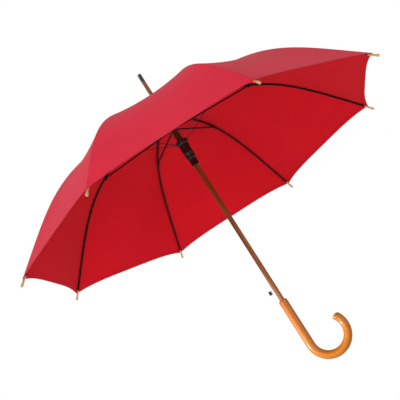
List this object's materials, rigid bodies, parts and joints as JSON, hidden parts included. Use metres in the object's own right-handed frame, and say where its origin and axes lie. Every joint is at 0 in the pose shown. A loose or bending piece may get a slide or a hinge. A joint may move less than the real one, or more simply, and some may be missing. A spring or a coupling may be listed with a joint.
{
  "type": "stick umbrella",
  "caption": "Open stick umbrella with a scalloped fabric canopy, folding steel rib frame, black automatic runner, wooden shaft and crook handle.",
  "frame": {"origin": "on the shaft's axis at the middle of the straight part of the grip", "axes": "+Z along the shaft towards the ferrule; +X towards the crook's open side; the release button is on the -X side"},
  "size_m": [1.0176, 1.0176, 0.8877],
  "materials": {
    "fabric": "plain-weave pongee with a slight sheen",
    "handle_wood": "glossy clear lacquer over honey-coloured wood",
    "shaft_wood": "varnished brown wood",
    "tip_wood": "satin light wood",
    "black_plastic": "moulded, satin to glossy",
    "dark_steel": "black-coated steel",
    "bright_steel": "bare spring steel"
  },
  "bodies": {
    "main": {"shaft": "shaft_wood", "handle": "handle_wood", "ferrule_cap": "black_plastic", "crown": "black_plastic", "canopy_cap": "fabric"},
    "inner_rib_1": {"rib_inner_1": "dark_steel", "canopy_panel_1": "fabric"},
    "outer_rib_1": {"rib_outer_1": "dark_steel", "rib_tip_1": "tip_wood"},
    "stretcher_1": {"stretcher_1": "dark_steel"},
    "link_1": {"link_wire_1": "dark_steel"},
    "inner_rib_2": {"rib_inner_2": "dark_steel", "canopy_panel_2": "fabric"},
    "outer_rib_2": {"rib_outer_2": "dark_steel", "rib_tip_2": "tip_wood"},
    "stretcher_2": {"stretcher_2": "dark_steel"},
    "link_2": {"link_wire_2": "dark_steel"},
    "inner_rib_3": {"rib_inner_3": "dark_steel", "canopy_panel_3": "fabric"},
    "outer_rib_3": {"rib_outer_3": "dark_steel", "rib_tip_3": "tip_wood", "closure_strap": "fabric"},
    "stretcher_3": {"stretcher_3": "dark_steel"},
    "link_3": {"link_wire_3": "dark_steel"},
    "inner_rib_4": {"rib_inner_4": "dark_steel", "canopy_panel_4": "fabric"},
    "outer_rib_4": {"rib_outer_4": "dark_steel", "rib_tip_4": "tip_wood"},
    "stretcher_4": {"stretcher_4": "dark_steel"},
    "link_4": {"link_wire_4": "dark_steel"},
    "inner_rib_5": {"rib_inner_5": "dark_steel", "canopy_panel_5": "fabric"},
    "outer_rib_5": {"rib_outer_5": "dark_steel", "rib_tip_5": "tip_wood"},
    "stretcher_5": {"stretcher_5": "dark_steel"},
    "link_5": {"link_wire_5": "dark_steel"},
    "inner_rib_6": {"rib_inner_6": "dark_steel", "canopy_panel_6": "fabric"},
    "outer_rib_6": {"rib_outer_6": "dark_steel", "rib_tip_6": "tip_wood"},
    "stretcher_6": {"stretcher_6": "dark_steel"},
    "link_6": {"link_wire_6": "dark_steel"},
    "inner_rib_7": {"rib_inner_7": "dark_steel", "canopy_panel_7": "fabric"},
    "outer_rib_7": {"rib_outer_7": "dark_steel", "rib_tip_7": "tip_wood"},
    "stretcher_7": {"stretcher_7": "dark_steel"},
    "link_7": {"link_wire_7": "dark_steel"},
    "inner_rib_8": {"rib_inner_8": "dark_steel", "canopy_panel_8": "fabric"},
    "outer_rib_8": {"rib_outer_8": "dark_steel", "rib_tip_8": "tip_wood"},
    "stretcher_8": {"stretcher_8": "dark_steel"},
    "link_8": {"link_wire_8": "dark_steel"},
    "head": {"runner_head": "black_plastic"},
    "sleeve": {"runner_sleeve": "black_plastic", "opening_spring": "dark_steel"},
    "button": {"release_button": "black_plastic", "button_stem": "bright_steel"}
  },
  "joints": [
    {"name": "canopy_fold", "type": "hinge", "parent": "main", "child": "inner_rib_1", "pos_m": [0.00861, -0.00262, 0.6295], "axis": [0.291, 0.9567, 0], "range_deg": [0, 83.39], "stiffness_Nm_per_rad": 1.2, "springref_deg": -57.3, "deforming": ["canopy_panel_1"]},
    {"name": "rib_flex_1", "type": "hinge", "parent": "inner_rib_1", "child": "outer_rib_1", "pos_m": [0.24013, -0.07305, 0.6101], "axis": [0.291, 0.9567, 0], "range_deg": [-31.47, 0]},
    {"name": "stretcher_pivot_1", "type": "hinge", "parent": "inner_rib_1", "child": "stretcher_1", "pos_m": [0.24013, -0.07305, 0.6075], "axis": [0.291, 0.9567, 0], "range_deg": [-166.82, 0]},
    {"name": "link_pivot_1", "type": "hinge", "parent": "stretcher_1", "child": "link_1", "pos_m": [0.09912, -0.03015, 0.5941], "axis": [0.291, 0.9567, 0], "range_deg": [0, 22.63]},
    {"name": "rib_fold_2", "type": "hinge", "parent": "main", "child": "inner_rib_2", "pos_m": [0.00794, 0.00424, 0.6295], "axis": [-0.4707, 0.8823, 0], "range_deg": [0, 83.39], "deforming": ["canopy_panel_2"]},
    {"name": "rib_flex_2", "type": "hinge", "parent": "inner_rib_2", "child": "outer_rib_2", "pos_m": [0.22146, 0.11815, 0.6101], "axis": [-0.4707, 0.8823, 0], "range_deg": [-31.47, 0]},
    {"name": "stretcher_pivot_2", "type": "hinge", "parent": "inner_rib_2", "child": "stretcher_2", "pos_m": [0.22146, 0.11815, 0.6075], "axis": [-0.4707, 0.8823, 0], "range_deg": [-166.82, 0]},
    {"name": "link_pivot_2", "type": "hinge", "parent": "stretcher_2", "child": "link_2", "pos_m": [0.09141, 0.04877, 0.5941], "axis": [-0.4707, 0.8823, 0], "range_deg": [0, 22.63]},
    {"name": "rib_fold_3", "type": "hinge", "parent": "main", "child": "inner_rib_3", "pos_m": [0.00262, 0.00861, 0.6295], "axis": [-0.9567, 0.291, 0], "range_deg": [0, 83.39], "deforming": ["canopy_panel_3"]},
    {"name": "rib_flex_3", "type": "hinge", "parent": "inner_rib_3", "child": "outer_rib_3", "pos_m": [0.07305, 0.24013, 0.6101], "axis": [-0.9567, 0.291, 0], "range_deg": [-31.47, 0], "deforming": ["closure_strap"]},
    {"name": "stretcher_pivot_3", "type": "hinge", "parent": "inner_rib_3", "child": "stretcher_3", "pos_m": [0.07305, 0.24013, 0.6075], "axis": [-0.9567, 0.291, 0], "range_deg": [-166.82, 0]},
    {"name": "link_pivot_3", "type": "hinge", "parent": "stretcher_3", "child": "link_3", "pos_m": [0.03015, 0.09912, 0.5941], "axis": [-0.9567, 0.291, 0], "range_deg": [0, 22.63]},
    {"name": "rib_fold_4", "type": "hinge", "parent": "main", "child": "inner_rib_4", "pos_m": [-0.00424, 0.00794, 0.6295], "axis": [-0.8823, -0.4707, 0], "range_deg": [0, 83.39], "deforming": ["canopy_panel_4"]},
    {"name": "rib_flex_4", "type": "hinge", "parent": "inner_rib_4", "child": "outer_rib_4", "pos_m": [-0.11815, 0.22146, 0.6101], "axis": [-0.8823, -0.4707, 0], "range_deg": [-31.47, 0]},
    {"name": "stretcher_pivot_4", "type": "hinge", "parent": "inner_rib_4", "child": "stretcher_4", "pos_m": [-0.11815, 0.22146, 0.6075], "axis": [-0.8823, -0.4707, 0], "range_deg": [-166.82, 0]},
    {"name": "link_pivot_4", "type": "hinge", "parent": "stretcher_4", "child": "link_4", "pos_m": [-0.04877, 0.09141, 0.5941], "axis": [-0.8823, -0.4707, 0], "range_deg": [0, 22.63]},
    {"name": "rib_fold_5", "type": "hinge", "parent": "main", "child": "inner_rib_5", "pos_m": [-0.00861, 0.00262, 0.6295], "axis": [-0.291, -0.9567, 0], "range_deg": [0, 83.39], "deforming": ["canopy_panel_5"]},
    {"name": "rib_flex_5", "type": "hinge", "parent": "inner_rib_5", "child": "outer_rib_5", "pos_m": [-0.24013, 0.07305, 0.6101], "axis": [-0.291, -0.9567, 0], "range_deg": [-31.47, 0]},
    {"name": "stretcher_pivot_5", "type": "hinge", "parent": "inner_rib_5", "child": "stretcher_5", "pos_m": [-0.24013, 0.07305, 0.6075], "axis": [-0.291, -0.9567, 0], "range_deg": [-166.82, 0]},
    {"name": "link_pivot_5", "type": "hinge", "parent": "stretcher_5", "child": "link_5", "pos_m": [-0.09912, 0.03015, 0.5941], "axis": [-0.291, -0.9567, 0], "range_deg": [0, 22.63]},
    {"name": "rib_fold_6", "type": "hinge", "parent": "main", "child": "inner_rib_6", "pos_m": [-0.00794, -0.00424, 0.6295], "axis": [0.4707, -0.8823, 0], "range_deg": [0, 83.39], "deforming": ["canopy_panel_6"]},
    {"name": "rib_flex_6", "type": "hinge", "parent": "inner_rib_6", "child": "outer_rib_6", "pos_m": [-0.22146, -0.11815, 0.6101], "axis": [0.4707, -0.8823, 0], "range_deg": [-31.47, 0]},
    {"name": "stretcher_pivot_6", "type": "hinge", "parent": "inner_rib_6", "child": "stretcher_6", "pos_m": [-0.22146, -0.11815, 0.6075], "axis": [0.4707, -0.8823, 0], "range_deg": [-166.82, 0]},
    {"name": "link_pivot_6", "type": "hinge", "parent": "stretcher_6", "child": "link_6", "pos_m": [-0.09141, -0.04877, 0.5941], "axis": [0.4707, -0.8823, 0], "range_deg": [0, 22.63]},
    {"name": "rib_fold_7", "type": "hinge", "parent": "main", "child": "inner_rib_7", "pos_m": [-0.00262, -0.00861, 0.6295], "axis": [0.9567, -0.291, 0], "range_deg": [0, 83.39], "deforming": ["canopy_panel_7"]},
    {"name": "rib_flex_7", "type": "hinge", "parent": "inner_rib_7", "child": "outer_rib_7", "pos_m": [-0.07305, -0.24013, 0.6101], "axis": [0.9567, -0.291, 0], "range_deg": [-31.47, 0]},
    {"name": "stretcher_pivot_7", "type": "hinge", "parent": "inner_rib_7", "child": "stretcher_7", "pos_m": [-0.07305, -0.24013, 0.6075], "axis": [0.9567, -0.291, 0], "range_deg": [-166.82, 0]},
    {"name": "link_pivot_7", "type": "hinge", "parent": "stretcher_7", "child": "link_7", "pos_m": [-0.03015, -0.09912, 0.5941], "axis": [0.9567, -0.291, 0], "range_deg": [0, 22.63]},
    {"name": "rib_fold_8", "type": "hinge", "parent": "main", "child": "inner_rib_8", "pos_m": [0.00424, -0.00794, 0.6295], "axis": [0.8823, 0.4707, 0], "range_deg": [0, 83.39], "deforming": ["canopy_panel_8"]},
    {"name": "rib_flex_8", "type": "hinge", "parent": "inner_rib_8", "child": "outer_rib_8", "pos_m": [0.11815, -0.22146, 0.6101], "axis": [0.8823, 0.4707, 0], "range_deg": [-31.47, 0]},
    {"name": "stretcher_pivot_8", "type": "hinge", "parent": "inner_rib_8", "child": "stretcher_8", "pos_m": [0.11815, -0.22146, 0.6075], "axis": [0.8823, 0.4707, 0], "range_deg": [-166.82, 0]},
    {"name": "link_pivot_8", "type": "hinge", "parent": "stretcher_8", "child": "link_8", "pos_m": [0.04877, -0.09141, 0.5941], "axis": [0.8823, 0.4707, 0], "range_deg": [0, 22.63]},
    {"name": "head_pivot", "type": "hinge", "parent": "stretcher_1", "child": "head", "pos_m": [0.00861, -0.00262, 0.5855], "axis": [0.291, 0.9567, 0], "range_deg": [0, 83.44]},
    {"name": "sleeve_slide", "type": "slide", "parent": "head", "child": "sleeve", "axis": [0, 0, 1], "range_m": [0, 0.03554], "deforming": ["opening_spring"]},
    {"name": "button_press", "type": "slide", "parent": "main", "child": "button", "axis": [1, 0, 0], "range_m": [0, 0.0021], "stiffness_N_per_m": 600}
  ],
  "couplings": [
    {"joint": "rib_flex_1", "follows": "canopy_fold", "ratio": -0.37685},
    {"joint": "stretcher_pivot_1", "follows": "canopy_fold", "ratio": -2},
    {"joint": "link_pivot_1", "follows": "canopy_fold", "ratio": 0.27079},
    {"joint": "rib_flex_2", "follows": "canopy_fold", "ratio": -0.37685},
    {"joint": "stretcher_pivot_2", "follows": "canopy_fold", "ratio": -2},
    {"joint": "link_pivot_2", "follows": "canopy_fold", "ratio": 0.27079},
    {"joint": "rib_fold_2", "follows": "canopy_fold", "ratio": 1},
    {"joint": "rib_flex_3", "follows": "canopy_fold", "ratio": -0.37685},
    {"joint": "stretcher_pivot_3", "follows": "canopy_fold", "ratio": -2},
    {"joint": "link_pivot_3", "follows": "canopy_fold", "ratio": 0.27079},
    {"joint": "rib_fold_3", "follows": "canopy_fold", "ratio": 1},
    {"joint": "rib_flex_4", "follows": "canopy_fold", "ratio": -0.37685},
    {"joint": "stretcher_pivot_4", "follows": "canopy_fold", "ratio": -2},
    {"joint": "link_pivot_4", "follows": "canopy_fold", "ratio": 0.27079},
    {"joint": "rib_fold_4", "follows": "canopy_fold", "ratio": 1},
    {"joint": "rib_flex_5", "follows": "canopy_fold", "ratio": -0.37685},
    {"joint": "stretcher_pivot_5", "follows": "canopy_fold", "ratio": -2},
    {"joint": "link_pivot_5", "follows": "canopy_fold", "ratio": 0.27079},
    {"joint": "rib_fold_5", "follows": "canopy_fold", "ratio": 1},
    {"joint": "rib_flex_6", "follows": "canopy_fold", "ratio": -0.37685},
    {"joint": "stretcher_pivot_6", "follows": "canopy_fold", "ratio": -2},
    {"joint": "link_pivot_6", "follows": "canopy_fold", "ratio": 0.27079},
    {"joint": "rib_fold_6", "follows": "canopy_fold", "ratio": 1},
    {"joint": "rib_flex_7", "follows": "canopy_fold", "ratio": -0.37685},
    {"joint": "stretcher_pivot_7", "follows": "canopy_fold", "ratio": -2},
    {"joint": "link_pivot_7", "follows": "canopy_fold", "ratio": 0.27079},
    {"joint": "rib_fold_7", "follows": "canopy_fold", "ratio": 1},
    {"joint": "rib_flex_8", "follows": "canopy_fold", "ratio": -0.37685},
    {"joint": "stretcher_pivot_8", "follows": "canopy_fold", "ratio": -2},
    {"joint": "link_pivot_8", "follows": "canopy_fold", "ratio": 0.27079},
    {"joint": "rib_fold_8", "follows": "canopy_fold", "ratio": 1},
    {"joint": "head_pivot", "follows": "canopy_fold", "ratio": 1},
    {"joint": "sleeve_slide", "follows": "canopy_fold", "m_per_rad": 0.024285}
  ]
}
